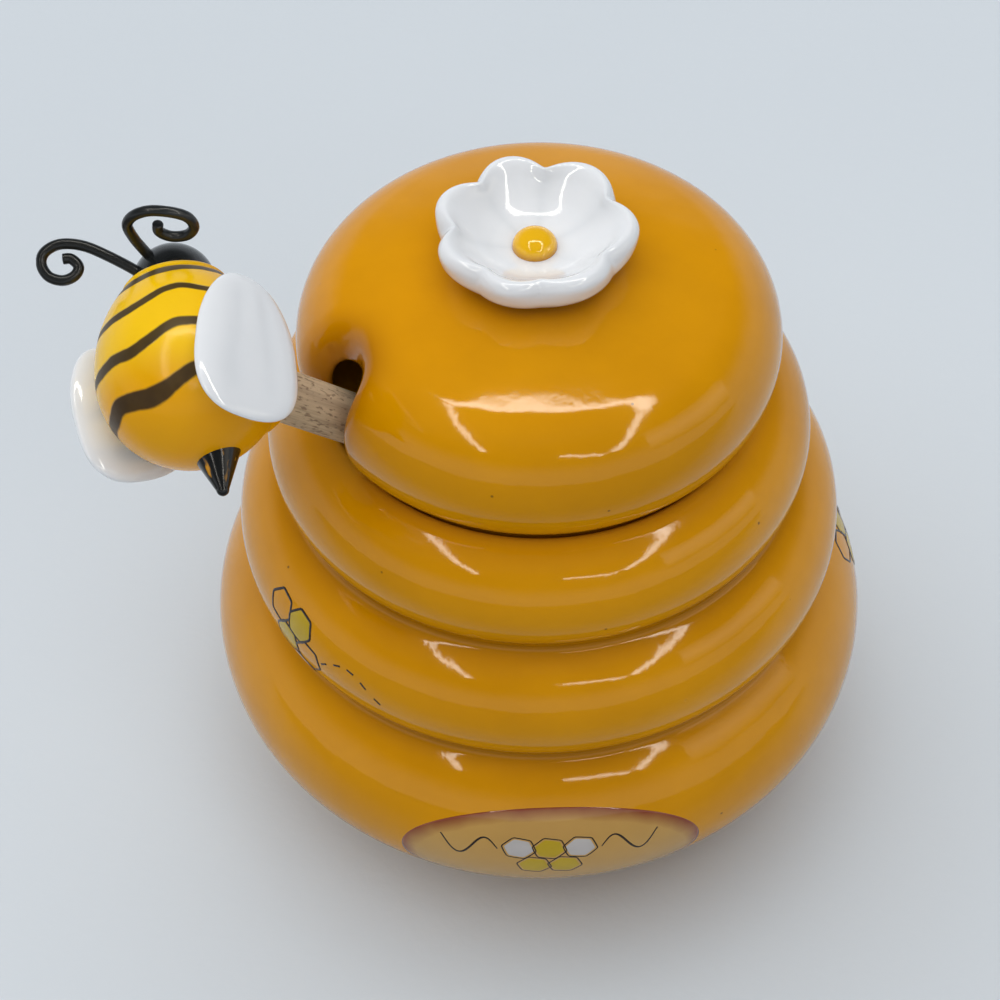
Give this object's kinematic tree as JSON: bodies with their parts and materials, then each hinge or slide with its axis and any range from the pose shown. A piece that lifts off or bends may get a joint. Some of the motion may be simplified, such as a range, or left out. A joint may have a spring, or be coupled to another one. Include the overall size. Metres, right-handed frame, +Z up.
{
  "type": "honey pot",
  "caption": "Beehive honey pot with a lift-off lid, a flower knob, and a wooden dipper with a bee that leans out through a notch in the lid.",
  "frame": {"origin": "middle of the pot's foot, on the table", "axes": "+Z up the pot's axis, the front faces -Y and +X is to the viewer's right; the dipper leans out to the left and a little forward"},
  "size_m": [0.1273, 0.114, 0.1332],
  "materials": {
    "amber_glaze": "honey-amber glaze, glossy",
    "white_glaze": "white glaze, glossy",
    "yellow_glaze": "yellow glaze, glossy",
    "beech": "turned, sanded and unvarnished",
    "bee_yellow": "yellow glaze, satin to glossy",
    "bee_black": "black glaze, glossy",
    "black_wire": "black enamelled wire, satin"
  },
  "bodies": {
    "pot": {"pot": "amber_glaze"},
    "lid": {"lid": "amber_glaze", "knob_flower": "white_glaze", "knob_centre": "yellow_glaze"},
    "dipper": {"dipper": "beech", "bee_body": "bee_yellow", "bee_head": "bee_black", "bee_stinger": "bee_black", "bee_wing_left": "white_glaze", "bee_wing_right": "white_glaze", "bee_antenna_left": "black_wire", "bee_antenna_right": "black_wire"}
  },
  "joints": [
    {"name": "lid_lift", "type": "slide", "parent": "pot", "child": "lid", "axis": [0, 0, 1], "range_m": [0, 0.08]},
    {"name": "dipper_pull", "type": "slide", "parent": "pot", "child": "dipper", "axis": [-0.62, -0.3296, 0.712], "range_m": [0, 0.045]}
  ]
}
